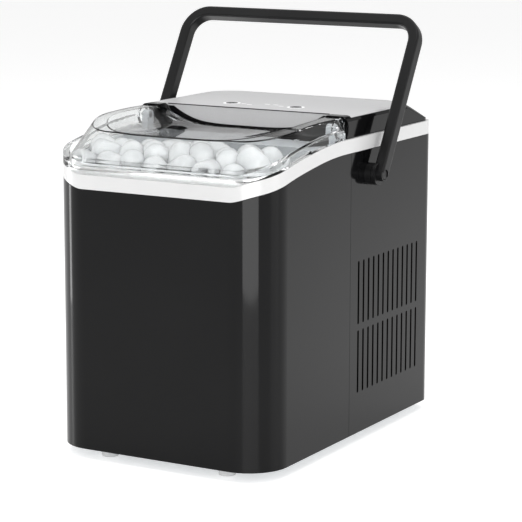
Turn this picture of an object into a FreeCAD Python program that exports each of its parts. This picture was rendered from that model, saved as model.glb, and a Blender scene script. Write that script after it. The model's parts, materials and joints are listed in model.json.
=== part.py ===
"""Countertop bullet-ice maker: each physical piece is its own solid in its own STEP file.

Frame: X to the right, -Y to the front, +Z up, in millimetres.
The origin is on the table, under the middle of the cabinet.
"""
import FreeCAD, Part
import math
import os

V = FreeCAD.Vector

# ---- overall sizes ----
WIDTH = 222.0               # cabinet, side to side
DEPTH = 328.0               # cabinet, front to rear
FOOT_HEIGHT = 9.0           # table to the underside of the cabinet
BAND_FRONT_Z = 243.2        # lower edge of the white band at the front
SHOULDER_RISE = 26.5        # how far the band climbs from the front to the rear
BAND_HEIGHT = 12.5
COVER_RISE = 20.3           # rear cover above the band
LID_LENGTH = 150.0          # front face to the rear end of the S-shaped climb
FRONT_RADIUS = 37.0         # upright corners of the cabinet
REAR_RADIUS = 18.0
SEAM = 154.0                # front face to the seam between the two shells

# ---- walls and clearances ----
WALL = 2.5                  # shells and cover
THIN_WALL = 2.0             # liner and lid
FIT = 0.3                   # between pieces that only lie beside each other
PANEL_GAP = 0.4             # visible parting lines
BORE_FIT = 0.06             # radial, shaft in hole
FRAME_WIDTH = 9.0           # width of the white band's rim

# ---- lid ----
FLANGE_HEIGHT = 8.5
FLANGE_WIDTH = 6.0
LID_INSET = 3.0             # lid wall behind the cabinet's face
LID_SLOPE = 1.0             # front wall leans back this far per unit of height
LID_SIDE_SLOPE = 0.14
LID_FRONT_CREST = 37.0      # height of the front top edge above the band's front top
HINGE_BACK = 142.0          # front face to the hinge axis
HINGE_UP = 9.1              # hinge axis above the band's rear top
BARREL_RADIUS = 11.4        # rear end of the lid, about the hinge axis
BARREL_GAP = 0.6
EAR_RADIUS = 8.0
EAR_THICKNESS = 4.0
PIN_RADIUS = 2.5
LID_FRONT_DIP = 3.5
NOTCH_START = 42.0
NOTCH_LENGTH = 37.0
NOTCH_HEIGHT = 3.2
TROUGH_HALF = 88.0          # half width of the dip in the top, at the rear of the lid
TROUGH_DEPTH = 18.2
TROUGH_FLARE = 2.2          # depths reached where the bowl's sides run out

# ---- rear cover and controls ----
COVER_INSET = 3.0
COVER_FRONT = 8.0           # behind the hinge axis
COVER_FRONT_CORNER = 0.5
CHAMFER_START = 42.0        # ahead of the rear face
CHAMFER_DROP = 18.0
TOP_CORNER = 26.0           # rear corners of the flat top
EDGE_ROUND = 5.0            # long edges of the top
APRON_TOP = 161.0           # front face to the crease of the control plate
APRON_FOOT = 158.5
PLATE_THICKNESS = 2.0
APRON_PROUD = 0.3           # apron ahead of the cover's own face
APRON_HEM = 2.4             # apron short of the bowl below it
APRON_THICKNESS = 1.6
BUTTON_RADIUS = 5.5
BUTTON_SPACING = 68.0
BUTTON_BACK = 30.0          # behind the crease
BUTTON_STAND = 0.4
BUTTON_TRAVEL = 0.9
BUTTON_FLANGE = 1.5
LENS_RADIUS = 1.3
LENS_SPACING = 11.0
LENS_COUNT = 3
BOARD_DROP = 9.0            # control board below the plate
BOARD_THICKNESS = 1.6
BOARD_DEPTH = 54.0

# ---- handle ----
PIVOT_BACK = 189.5          # front face to the handle's pivot
PIVOT_Z = 247.0
HANDLE_REACH = 158.0        # pivot to the outside of the grip
HANDLE_LEAN = 30.5          # degrees back from upright
HANDLE_SECTION = 10.4
HANDLE_DEPTH = 12.4
HANDLE_BEND = 27.0
HUB_RADIUS = 10.0
BOSS_THICKNESS = 6.0
HUB_THICKNESS = 4.0
PIVOT_PIN_RADIUS = 3.0
PIVOT_HEAD_RADIUS = 4.3
PIVOT_HEAD = 1.6
HEAD_FIT = 0.5              # radial, pin head in its sink
SINK_DEPTH = 2.9
PIN_PAST_WALL = 5.0
NUT_RADIUS = 5.5
NUT_HEIGHT = 3.5
HANDLE_SOFT = 2.0           # rounding of the handle's long edges

# ---- vents ----
VENT_FIRST = 170.5          # front face to the middle of the first slot
VENT_PITCH = 10.0
VENT_COUNT = 13
VENT_WIDTH = 3.2
VENT_ROWS = ((47.0, 105.3), (111.0, 169.5))

# ---- ice bin ----
LINER_FLOOR = 70.0
LINER_CORNER = 3.0
JACKET = 5.6
BASKET_FLOOR = 120.0
BASKET_TOP = 214.0
BASKET_DEPTH = 74.0
BASKET_GAP = 3.0
BASKET_CORNER = 20.0
BASKET_WALL = 2.0
BASKET_SLOTS = 5
SLOT_HALF = 4.0
RIM_HEIGHT = 4.0
RIM_OUT = 1.6
TRAY_BACK = 27.5            # rear inner wall of the liner to the tray's axis
TRAY_Z = 247.0
TRAY_RADIUS = 25.0
TRAY_WALL = 1.5
TRAY_HALF = 58.0
FINGER_RADIUS = 4.0
FINGER_LENGTH = 17.0
FINGER_PITCH = 22.0
FINGER_ROW = 7.0
PLATE_HALF_DEPTH = 12.0
PLATE_LIFT = 3.0            # cold plate above the tray's axis
PLATE_HEIGHT = 5.0
TRUNNION_RADIUS = 2.5
TRUNNION_LENGTH = 10.0
TRUNNION_DISC = 7.0
HOOD_LIFT = 14.0            # foot of the hood above the tray's axis
HOOD_TOP_GAP = 1.6          # under the sweep of the lid's rear end
HOOD_REAR_GAP = 1.0
TOWER_WIDTH = 6.4
TOWER_RADIUS = 5.0

# ---- machine room ----
PAN_THICKNESS = 3.0
COMPRESSOR_RADIUS = 44.0
COMPRESSOR_HEIGHT = 128.0
COMPRESSOR_X = -48.0
COMPRESSOR_REAR_GAP = 24.0
CAN_ROUND = 16.0
PLATE_SIDE = 80.0           # square foot plate of the compressor
MOUNT_OUT = 34.0
MOUNT_RADIUS = 7.0
MOUNT_BORE = 3.2
MOUNT_HEIGHT = 8.0
SHAFT_RADIUS = 2.5
BLADE_COUNT = 5
BLADE_PITCH = 24.0          # degrees
DRIER_RADIUS = 8.0
DRIER_LENGTH = 50.0
DRIER_BESIDE = 66.0         # drier to the compressor's axis
CONDENSER_DEPTH = 120.0
CONDENSER_HEIGHT = 150.0
TUBE_ROWS = 6
ROW_PITCH = 24.0
CONDENSER_THICKNESS = 18.0
CONDENSER_GAP = 4.0
FIN_COUNT = 24
FIN_THICKNESS = 0.8
FAN_RADIUS = 50.0
SHROUD_THICKNESS = 16.0
TUBE_RADIUS = 3.0

FRONT = -DEPTH / 2
REAR = DEPTH / 2
HALF = WIDTH / 2
BAND_REAR_Z = BAND_FRONT_Z + SHOULDER_RISE
BAND_TOP = BAND_REAR_Z + BAND_HEIGHT
COVER_TOP = BAND_TOP + COVER_RISE
HINGE_Y = FRONT + HINGE_BACK
HINGE_Z = BAND_TOP + HINGE_UP
LINER_HALF = HALF - FRAME_WIDTH - FIT
LINER_FRONT = FRONT + FRAME_WIDTH + FIT
LINER_REAR = FRONT + LID_LENGTH
TRAY_Y = LINER_REAR - THIN_WALL - TRAY_BACK
PAN_TOP = FOOT_HEIGHT + PAN_THICKNESS
BOARD_Y = FRONT + APRON_TOP + 16
TROUGH_Z = COVER_TOP - TROUGH_DEPTH

# ---- places that several pieces share ----
FOOT_X = 61.0
FOOT_INSET = 21.0
FOOT_RADIUS = 8.5
FOOT_STEM = 3.0
SCREW_X = 84.0
SCREW_INSET = 20.0
SCREW_HEAD = 4.0
SCREW_SHANK = 1.8
HEAD_HEIGHT = 2.0
SCREW_SLOT = 0.8            # depth of the driver's slot
SCREW_LENGTH = 8.0
PAN_RIM = 12.0
GLAND_X = -70.0
GLAND_Z = 36.0
GLAND_RADIUS = 7.0
DRAIN_RADIUS = 9.5
DRAIN_Y = FRONT + 62.0
DRAIN_Z = 36.0
DRAIN_X = -70.0
DRAIN_TUBE = 5.0
PUMP_X = 74.0
PLATE_HALF = 54.0
HANGER_X = 40.0
TOWER_X = LINER_HALF - THIN_WALL - FIT - TOWER_WIDTH
EAR_X = LINER_HALF - THIN_WALL + 0.1

# share of the climb reached at each share of the lid's length
SHOULDER = ((0.0, 0.01), (0.02, 0.13), (0.087, 0.29), (0.227, 0.50), (0.477, 0.755), (0.735, 0.94), (1.0, 1.0))
# share of the trough's depth reached at each share of its half width
TROUGH_BOWL = ((0.0, 0.0), (0.41, 0.03), (0.60, 0.14), (0.74, 0.34), (0.88, 0.65), (1.0, 1.0))
# height of the lid's side ridge below the cover's top, at distances from the front
RIDGE = ((-10.0, 17.0), (30.0, 10.6), (53.0, 6.7), (72.0, 3.6), (93.0, 1.9), (125.0, 1.2), (175.0, 1.1))

parts = {}


def box(x0, x1, y0, y1, z0, z1):
    """A box between two corners."""
    return Part.makeBox(x1 - x0, y1 - y0, z1 - z0, V(x0, y0, z0))


def rod(radius, start, direction, length):
    """A cylinder from a start point along a direction."""
    return Part.makeCylinder(radius, length, V(*start), V(*direction))


def tube(outer, inner, start, direction, length):
    """A pipe or washer."""
    return rod(outer, start, direction, length).cut(rod(inner, start, direction, length))


def both_sides(shape):
    """The shape and its mirror image in the middle plane."""
    return [shape, shape.mirror(V(0, 0, 0), V(1, 0, 0))]


def group(shapes):
    """Separate solids kept in one node."""
    return Part.makeCompound(shapes)


def fuse(shapes):
    """One solid from overlapping shapes."""
    return shapes[0].multiFuse(shapes[1:]).removeSplitter()


def outline(half, y0, y1, front_radius, rear_radius, z):
    """A closed wire: rectangle with rounded upright corners."""
    points = []
    edges = []
    corners = (
        (half - front_radius, y0 + front_radius, front_radius, -90),
        (half - rear_radius, y1 - rear_radius, rear_radius, 0),
        (rear_radius - half, y1 - rear_radius, rear_radius, 90),
        (front_radius - half, y0 + front_radius, front_radius, 180),
    )
    for cx, cy, radius, angle in corners:
        arc = []
        for step in (0, 45, 90):
            turn = math.radians(angle + step)
            arc.append(V(cx + radius * math.cos(turn), cy + radius * math.sin(turn), z))
        points.append(arc)
    for index, arc in enumerate(points):
        edges.append(Part.Arc(*arc).toShape())
        edges.append(Part.makeLine(arc[2], points[(index + 1) % 4][0]))
    return Part.Wire(edges)


def block(inset, z0, z1, y1=REAR):
    """The cabinet's outline, moved inwards, between two heights; y1 is where it ends."""
    face = Part.Face(outline(HALF - inset, FRONT + inset, REAR - inset, FRONT_RADIUS - inset,
                             max(REAR_RADIUS - inset, 1.0), z0))
    solid = face.extrude(V(0, 0, z1 - z0))
    if y1 < REAR:
        solid = solid.common(box(-HALF, HALF, FRONT, y1, z0, z1))
    return solid


def spline(points):
    """A smooth edge through the points."""
    curve = Part.BSplineCurve()
    curve.interpolate(Points=points)
    return curve.toShape()


def closed_prism(edges, last, first, sweep):
    """Extrude the face between a chain of edges and a path of straight lines back to its start."""
    path = [last] + first
    lines = []
    for a, b in zip(path, path[1:]):
        lines.append(Part.makeLine(a, b))
    return Part.Face(Part.Wire(edges + lines)).extrude(sweep)


def below_shoulder(lift, half=HALF + 20):
    """Everything under the S-shaped line, lifted by an amount."""
    start_z = BAND_FRONT_Z + lift
    points = [V(-half, FRONT + u * LID_LENGTH, start_z + v * SHOULDER_RISE) for u, v in SHOULDER]
    ahead = V(-half, FRONT - 20, points[0].z)
    behind = V(-half, REAR + 20, points[-1].z)
    curve = spline(points)
    edges = [Part.makeLine(ahead, points[0]), curve, Part.makeLine(points[-1], behind)]
    floor = [V(-half, REAR + 20, 0), V(-half, FRONT - 20, 0), ahead]
    return closed_prism(edges, behind, floor, V(2 * half, 0, 0))


def trough_wire(y, half, floor_z, height):
    """Section of the space over the dip: a smooth bowl that flares out to straight sides."""
    wide = HALF + 20
    right = [V(u * half, y, floor_z + v * height) for u, v in TROUGH_BOWL]
    right.append(V(wide, y, floor_z + TROUGH_FLARE * height))
    left = [V(-p.x, p.y, p.z) for p in reversed(right[1:])]
    points = left + right
    high = COVER_TOP + 60
    corners = [points[-1], V(wide, y, high), V(-wide, y, high), points[0]]
    edges = [spline(points)]
    for a, b in zip(corners, corners[1:]):
        edges.append(Part.makeLine(a, b))
    return Part.Wire(edges)


def above_trough(y0, y1, drop):
    """The space over the dip between two places, lowered by an amount."""
    return Part.Face(trough_wire(y0, TROUGH_HALF + drop, TROUGH_Z - drop, TROUGH_DEPTH)).extrude(V(0, y1 - y0, 0))


def above_lid(drop):
    """The space over the lid: a shallow dip at its front that deepens to the rear."""
    crest = BAND_FRONT_Z + BAND_HEIGHT + LID_FRONT_CREST - drop
    front = trough_wire(FRONT - 10, TROUGH_HALF + 16, crest, LID_FRONT_DIP)
    rear = trough_wire(FRONT + LID_LENGTH + 30, TROUGH_HALF + drop, TROUGH_Z - drop, TROUGH_DEPTH)
    return Part.makeLoft([front, rear], True, True)


def above_ridge(drop):
    """The space over the lid's side ridges."""
    wide = HALF + 20
    points = [V(-wide, FRONT + d, COVER_TOP - fall - drop) for d, fall in RIDGE]
    top = [V(-wide, points[-1].y, COVER_TOP + 60), V(-wide, points[0].y, COVER_TOP + 60), points[0]]
    return closed_prism([spline(points)], points[-1], top, V(2 * wide, 0, 0))


def lid_block(inset):
    """The lid's outside, or its inside when inset, before its foot is cut to the shoulder."""
    base = BAND_FRONT_Z + BAND_HEIGHT + FLANGE_HEIGHT
    wires = []
    for z in (base - FLANGE_HEIGHT, COVER_TOP + 5):
        rise = z - base
        half = HALF - LID_INSET - rise * LID_SIDE_SLOPE - inset
        y0 = FRONT + LID_INSET / 2 + rise * LID_SLOPE + inset * math.hypot(1, LID_SLOPE)
        radius = FRONT_RADIUS - LID_INSET + rise * 0.28 - inset
        wires.append(outline(half, y0, FRONT + LID_LENGTH + 15, radius, 1.0, z))
    solid = Part.makeLoft(wires, True, True)
    return solid.cut(above_lid(inset)).cut(above_ridge(inset))


def shells():
    """Two painted wrap-round shells, split at an upright seam, and vented behind it."""
    wall = block(0, FOOT_HEIGHT, BAND_TOP).cut(block(WALL, FOOT_HEIGHT, BAND_TOP))
    wall = wall.common(below_shoulder(-PANEL_GAP))
    seam_y = FRONT + SEAM
    front = wall.common(box(-HALF, HALF, FRONT, seam_y - PANEL_GAP / 2, 0, BAND_TOP))
    rear = wall.common(box(-HALF, HALF, seam_y + PANEL_GAP / 2, REAR, 0, BAND_TOP))
    slots = []
    for low, high in VENT_ROWS:
        for index in range(VENT_COUNT):
            y = FRONT + VENT_FIRST + index * VENT_PITCH
            radius = VENT_WIDTH / 2
            slot = box(-HALF, HALF, y - radius, y + radius, low + radius, high - radius)
            ends = [rod(radius, (-HALF, y, z), (1, 0, 0), WIDTH) for z in (low + radius, high - radius)]
            slots.append(slot.multiFuse(ends))
    rear = rear.cut(slots)
    pivot = rod(PIVOT_PIN_RADIUS + FIT, (-HALF, FRONT + PIVOT_BACK, PIVOT_Z), (1, 0, 0), WIDTH)
    gland = rod(GLAND_RADIUS + FIT, (GLAND_X, REAR - 2 * WALL, GLAND_Z), (0, 1, 0), 3 * WALL)
    parts["front_shell"] = front.cut(rod(DRAIN_RADIUS + FIT, (-HALF, DRAIN_Y, DRAIN_Z), (1, 0, 0), 2 * WALL))
    parts["rear_shell"] = rear.cut([pivot, gland])


def base():
    """Metal base pan inside the shells, four feet under it and the screws that hold the shells."""
    inset = WALL + FIT
    rim_z = FOOT_HEIGHT + PAN_RIM
    pan = block(inset, FOOT_HEIGHT, rim_z).cut(block(inset + THIN_WALL, PAN_TOP, rim_z))
    feet = []
    screws = []
    for x in (-FOOT_X, FOOT_X):
        for y in (FRONT + FOOT_INSET, REAR - FOOT_INSET):
            foot = Part.makeCone(FOOT_RADIUS - 1, FOOT_RADIUS, FOOT_HEIGHT, V(x, y, 0))
            feet.append(foot.fuse(rod(FOOT_STEM, (x, y, FOOT_HEIGHT), (0, 0, 1), PAN_THICKNESS)))
            pan = pan.cut(rod(FOOT_STEM, (x, y, FOOT_HEIGHT), (0, 0, 1), PAN_THICKNESS))
    for x in (-SCREW_X, SCREW_X):
        for y in (FRONT + SCREW_INSET, 0.0, REAR - SCREW_INSET):
            low = FOOT_HEIGHT - HEAD_HEIGHT
            head = rod(SCREW_HEAD, (x, y, low), (0, 0, 1), HEAD_HEIGHT)
            slot = box(x - SCREW_HEAD, x + SCREW_HEAD, y - 0.5, y + 0.5, low, low + SCREW_SLOT)
            screws.append(head.cut(slot).fuse(rod(SCREW_SHANK, (x, y, FOOT_HEIGHT - 1), (0, 0, 1), SCREW_LENGTH)))
            pan = pan.cut(rod(SCREW_SHANK, (x, y, FOOT_HEIGHT), (0, 0, 1), PAN_THICKNESS))
    parts["base_pan"] = pan
    parts["feet"] = group(feet)
    parts["base_screws"] = group(screws)


def barrel_space():
    """Room for the lid's rear end to turn in, between the lid's flanges."""
    half = HALF - COVER_INSET + FIT
    return rod(BARREL_RADIUS + BARREL_GAP, (-half, HINGE_Y, HINGE_Z), (1, 0, 0), 2 * half)


def upper_frame():
    """White frame that carries the lid, the liner and the rear cover."""
    ring = block(0, BAND_FRONT_Z - 5, BAND_TOP + 5).cut(block(FRAME_WIDTH, BAND_FRONT_Z - 5, BAND_TOP + 5))
    ring = ring.common(below_shoulder(BAND_HEIGHT)).cut(below_shoulder(0))
    parts["upper_frame"] = ring.cut(barrel_space())


def ice_bin():
    """Liner that holds the basket above the water, with its foam jacket."""
    def tub(inset, z0, z1):
        half = LINER_HALF - inset
        radius = FRONT_RADIUS - FRAME_WIDTH - FIT - inset
        wire = outline(half, LINER_FRONT + inset, LINER_REAR - inset, radius, max(LINER_CORNER - inset, 1), z0)
        return Part.Face(wire).extrude(V(0, 0, z1 - z0))

    top = HINGE_Z - BARREL_RADIUS - BARREL_GAP - HOOD_TOP_GAP
    liner = tub(0, LINER_FLOOR, top).cut(tub(THIN_WALL, LINER_FLOOR + THIN_WALL, top))
    liner = liner.common(below_shoulder(BAND_HEIGHT - 1.0))
    drain = rod(DRAIN_TUBE, (DRAIN_X, DRAIN_Y, LINER_FLOOR - 1), (0, 0, 1), THIN_WALL + 2)
    parts["bin_liner"] = liner.cut(drain)
    gap = -FIT
    jacket = tub(gap - JACKET, LINER_FLOOR + 6, BAND_FRONT_Z - 6).cut(tub(gap, LINER_FLOOR, BAND_TOP))
    parts["insulation_jacket"] = jacket


def ice_basket():
    """Lift-out basket with drain slots in its floor."""
    half = LINER_HALF - THIN_WALL - BASKET_GAP
    y0 = LINER_FRONT + THIN_WALL + BASKET_GAP
    y1 = y0 + BASKET_DEPTH

    def shape(inset, z0, z1):
        wire = outline(half - inset, y0 + inset, y1 - inset, BASKET_CORNER - inset, BASKET_CORNER / 2 - inset, z0)
        return Part.Face(wire).extrude(V(0, 0, z1 - z0))

    basket = shape(0, BASKET_FLOOR, BASKET_TOP).cut(shape(BASKET_WALL, BASKET_FLOOR + BASKET_WALL, BASKET_TOP))
    low = BASKET_TOP - RIM_HEIGHT
    rim = shape(-RIM_OUT, low, BASKET_TOP).cut(shape(BASKET_WALL, low, BASKET_TOP))
    basket = basket.fuse(rim).removeSplitter()
    slots = []
    pitch = 2 * (half - BASKET_CORNER) / (BASKET_SLOTS - 1)
    for index in range(BASKET_SLOTS):
        x = BASKET_CORNER - half + index * pitch
        slots.append(box(x - SLOT_HALF, x + SLOT_HALF, y0 + BASKET_CORNER, y1 - BASKET_CORNER,
                         BASKET_FLOOR, BASKET_FLOOR + 2 * BASKET_WALL))
    parts["ice_basket"] = basket.cut(slots)


def lid():
    """Clear lid: flange, sloping front, dipped top, and a rounded rear end with two bored ears."""
    shell = lid_block(0).cut(lid_block(THIN_WALL))
    foot = BAND_HEIGHT + PANEL_GAP
    shell = shell.common(block(0, BAND_FRONT_Z, COVER_TOP + 5)).cut(below_shoulder(foot))
    flange = block(0, BAND_FRONT_Z, COVER_TOP, HINGE_Y).cut(block(FLANGE_WIDTH, BAND_FRONT_Z, COVER_TOP))
    flange = flange.common(below_shoulder(foot + FLANGE_HEIGHT)).cut(below_shoulder(foot))
    barrel_half = HALF - COVER_INSET
    behind = box(-HALF, HALF, HINGE_Y, REAR, BAND_FRONT_Z, COVER_TOP + 5)
    barrel = rod(BARREL_RADIUS, (-barrel_half, HINGE_Y, HINGE_Z), (1, 0, 0), 2 * barrel_half)
    shell = shell.cut(behind.cut(barrel))
    ears = []
    for side in both_sides(rod(EAR_RADIUS, (EAR_X, HINGE_Y, HINGE_Z), (1, 0, 0), EAR_THICKNESS)):
        ears.append(side)
    whole = fuse([shell, flange] + ears)
    pins = rod(PIN_RADIUS + BORE_FIT, (-HALF, HINGE_Y, HINGE_Z), (1, 0, 0), WIDTH)
    notch_y = FRONT + NOTCH_START
    notch = box(-HALF, HALF, notch_y, notch_y + NOTCH_LENGTH, BAND_FRONT_Z, COVER_TOP)
    notch = notch.common(below_shoulder(foot + NOTCH_HEIGHT))
    inner = HALF - WALL
    notch = notch.cut(box(-inner, inner, FRONT, REAR, BAND_FRONT_Z, COVER_TOP))
    parts["lid"] = whole.cut([pins, notch])


def evaporator_hood():
    """Hood over the ice-making tray, with the two towers that the lid turns on."""
    half = LINER_HALF - THIN_WALL - FIT
    top = HINGE_Z - BARREL_RADIUS - BARREL_GAP - HOOD_TOP_GAP
    y0 = TRAY_Y - 14
    y1 = LINER_REAR - THIN_WALL - HOOD_REAR_GAP
    outer = box(-half, half, y0, y1, TRAY_Z + HOOD_LIFT, top)
    hollow = box(THIN_WALL - half, half - THIN_WALL, y0 + THIN_WALL, y1 - THIN_WALL, 0, top - THIN_WALL)
    towers = []
    pins = []
    for tower_x, pin_x in ((TOWER_X, TOWER_X), (-TOWER_X - TOWER_WIDTH, -EAR_X - EAR_THICKNESS)):
        post = box(tower_x, tower_x + TOWER_WIDTH, HINGE_Y - TOWER_RADIUS, HINGE_Y + TOWER_RADIUS, top - 1, HINGE_Z)
        towers.append(post.fuse(rod(TOWER_RADIUS, (tower_x, HINGE_Y, HINGE_Z), (1, 0, 0), TOWER_WIDTH)))
        length = EAR_X + EAR_THICKNESS - TOWER_X
        pins.append(rod(PIN_RADIUS, (pin_x, HINGE_Y, HINGE_Z), (1, 0, 0), length))
    hood = fuse([outer.cut(hollow)] + towers)
    hole = rod(PIN_RADIUS + BORE_FIT, (-HALF, HINGE_Y, HINGE_Z), (1, 0, 0), WIDTH)
    parts["evaporator_hood"] = hood.cut(hole)
    parts["lid_hinge_pins"] = group(pins)


def ice_making():
    """Cold plate with nine fingers, the tilting tray round them, its motor and its bearing."""
    plate_z = TRAY_Z + PLATE_LIFT
    plate_top = plate_z + PLATE_HEIGHT
    plate = box(-PLATE_HALF, PLATE_HALF, TRAY_Y - PLATE_HALF_DEPTH, TRAY_Y + PLATE_HALF_DEPTH, plate_z, plate_top)
    fingers = []
    for row, count in ((-FINGER_ROW, 5), (FINGER_ROW, 4)):
        for index in range(count):
            x = (index - (count - 1) / 2) * FINGER_PITCH
            tip = (x, TRAY_Y + row, TRAY_Z - FINGER_LENGTH + FINGER_RADIUS)
            fingers.append(rod(FINGER_RADIUS, tip, (0, 0, 1), plate_z + 1 - tip[2]))
            fingers.append(Part.makeSphere(FINGER_RADIUS, V(*tip)))
    parts["evaporator"] = fuse([plate] + fingers)
    top = HINGE_Z - BARREL_RADIUS - BARREL_GAP - HOOD_TOP_GAP - THIN_WALL
    hangers = []
    for x in (-HANGER_X, HANGER_X):
        hangers.append(box(x - 4, x + 4, TRAY_Y - 4, TRAY_Y + 1, plate_top, top))
    parts["evaporator_hangers"] = group(hangers)
    start = (-TRAY_HALF, TRAY_Y, TRAY_Z)
    solid = rod(TRAY_RADIUS, start, (1, 0, 0), 2 * TRAY_HALF)
    inner_start = (TRAY_WALL - TRAY_HALF, TRAY_Y, TRAY_Z)
    hollow = rod(TRAY_RADIUS - TRAY_WALL, inner_start, (1, 0, 0), 2 * (TRAY_HALF - TRAY_WALL))
    upper = box(-HALF, HALF, FRONT, REAR, TRAY_Z, TRAY_Z + 2 * TRAY_RADIUS)
    discs = [rod(TRUNNION_DISC, (x, TRAY_Y, TRAY_Z), (1, 0, 0), TRAY_WALL) for x in (-TRAY_HALF, TRAY_HALF - TRAY_WALL)]
    starts = (-TRAY_HALF - TRUNNION_LENGTH, TRAY_HALF)
    trunnions = [rod(TRUNNION_RADIUS, (x, TRAY_Y, TRAY_Z), (1, 0, 0), TRUNNION_LENGTH) for x in starts]
    parts["water_tray"] = fuse([solid.cut(hollow).cut(upper)] + discs + trunnions)
    wall_x = LINER_HALF - THIN_WALL - FIT
    hood_base = TRAY_Z + HOOD_LIFT
    socket = rod(TRUNNION_RADIUS + BORE_FIT, (-wall_x, TRAY_Y, TRAY_Z), (1, 0, 0), 2 * wall_x)
    motor = box(-wall_x, -TRAY_HALF - 2, TRAY_Y - 14, TRAY_Y + 14, TRAY_Z - 22, hood_base)
    parts["tray_motor"] = motor.cut(socket)
    arm = box(TRAY_HALF + 2, TRAY_HALF + 8, TRAY_Y - 8, TRAY_Y + 8, TRAY_Z - 8, hood_base + 4)
    parts["tray_bearing"] = arm.cut(socket).cut(box(0, HALF, FRONT, REAR, top, COVER_TOP))
    sensor = box(wall_x - 4, wall_x + FIT, TRAY_Y - 28, TRAY_Y - 16.5, TRAY_Z - 22, TRAY_Z - 12)
    lens = rod(2.0, (wall_x - 5.5, TRAY_Y - 22, TRAY_Z - 17), (1, 0, 0), 2)
    parts["ice_level_sensors"] = group(both_sides(sensor.fuse(lens)))


def bent_tube(points, radius, bend):
    """A solid tube along straight runs joined by tangent arcs."""
    edges = []
    here = points[0]
    for before, corner, after in zip(points, points[1:], points[2:]):
        a = (before - corner).normalize()
        b = (after - corner).normalize()
        half_angle = a.getAngle(b) / 2
        trim = bend / math.tan(half_angle)
        middle_way = (a + b).normalize()
        centre = corner + middle_way * (bend / math.sin(half_angle))
        enter = corner + a * trim
        leave = corner + b * trim
        edges.append(Part.makeLine(here, enter))
        edges.append(Part.Arc(enter, centre - middle_way * bend, leave).toShape())
        here = leave
    edges.append(Part.makeLine(here, points[-1]))
    path = Part.Wire(edges)
    start = (points[1] - points[0]).normalize()
    section = Part.Wire(Part.makeCircle(radius, points[0], start))
    return path.makePipeShell([section], True, False)


def water_circuit():
    """Pump on the liner's floor, its hose up to the tray, and the drain with its pull-out plug."""
    pump_y = LINER_REAR - THIN_WALL - 20
    floor = LINER_FLOOR + THIN_WALL
    body = rod(15.0, (PUMP_X, pump_y, floor), (0, 0, 1), 26).fuse(rod(18.0, (PUMP_X, pump_y, floor), (0, 0, 1), 6))
    parts["water_pump"] = fuse([body, rod(5.0, (PUMP_X, pump_y, floor + 26), (0, 0, 1), 6)])
    top = V(PUMP_X, pump_y, TRAY_Z - 30)
    route = [V(PUMP_X, pump_y, floor + 32), V(PUMP_X, pump_y, floor + 80),
             V(PUMP_X, pump_y + 8, TRAY_Z - 60), V(PUMP_X, pump_y + 8, top.z)]
    parts["water_hose"] = bent_tube(route, 4.0, 16.0)
    out = -HALF + WALL + 4
    drop = [V(DRAIN_X, DRAIN_Y, LINER_FLOOR + 1), V(DRAIN_X, DRAIN_Y, DRAIN_Z), V(out, DRAIN_Y, DRAIN_Z)]
    parts["drain_tube"] = bent_tube(drop, DRAIN_TUBE - BORE_FIT, 14.0)
    cup = tube(DRAIN_RADIUS, 6.0, (-HALF + 0.8, DRAIN_Y, DRAIN_Z), (1, 0, 0), WALL + 3.2)
    parts["drain_socket"] = cup
    plug = rod(5.6, (-HALF + 0.6, DRAIN_Y, DRAIN_Z), (1, 0, 0), WALL + 2.4)
    face = rod(8.5, (-HALF - 1.0, DRAIN_Y, DRAIN_Z), (1, 0, 0), 1.6)
    tab = box(-HALF - 4.0, -HALF - 1.0, DRAIN_Y - 1.2, DRAIN_Y + 1.2, DRAIN_Z - 6, DRAIN_Z + 6)
    parts["drain_plug"] = fuse([plug, face, tab])


def cover_hull(inset):
    """Rear cover's outside, or its inside when inset: rounded long edges, sloping rear."""
    top = COVER_TOP - inset
    slope_foot = top - CHAMFER_DROP
    y0 = HINGE_Y + COVER_FRONT
    lower = block(COVER_INSET + inset, BAND_TOP - 1, slope_foot)
    wires = []
    for turn in (-1, 0, 30, 60, 90):
        angle = math.radians(max(turn, 0))
        z = top - EDGE_ROUND * (1 - math.sin(angle)) if turn >= 0 else slope_foot
        half = HALF - COVER_INSET - inset - EDGE_ROUND * (1 - math.cos(angle))
        climb = (z - slope_foot) / CHAMFER_DROP
        y1 = REAR - COVER_INSET - inset - climb * (CHAMFER_START - COVER_INSET)
        corner = REAR_RADIUS - COVER_INSET + climb * (TOP_CORNER - REAR_RADIUS + COVER_INSET) - inset
        wires.append(outline(half, y0, y1, COVER_FRONT_CORNER, corner, z))
    return lower.fuse(Part.makeLoft(wires, True, True)).removeSplitter()


def behind_apron(front_y):
    """Everything behind the apron's plane, which meets the flat top at a distance along Y."""
    lean = (APRON_TOP - APRON_FOOT) / (COVER_TOP - TROUGH_Z)
    margin = 10.0
    low_y = front_y - (APRON_TOP - APRON_FOOT) - margin * lean
    profile = [V(-HALF, front_y + margin * lean, COVER_TOP + margin), V(-HALF, low_y, TROUGH_Z - margin),
               V(-HALF, REAR, TROUGH_Z - margin), V(-HALF, REAR, COVER_TOP + margin)]
    return Part.Face(Part.makePolygon(profile + [profile[0]])).extrude(V(WIDTH, 0, 0))


def dip(drop):
    """The space over the dip, ahead of the apron."""
    crease = FRONT + APRON_TOP + APRON_PROUD + drop
    return above_trough(HINGE_Y - 5, crease + 5, drop).cut(behind_apron(crease))


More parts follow.
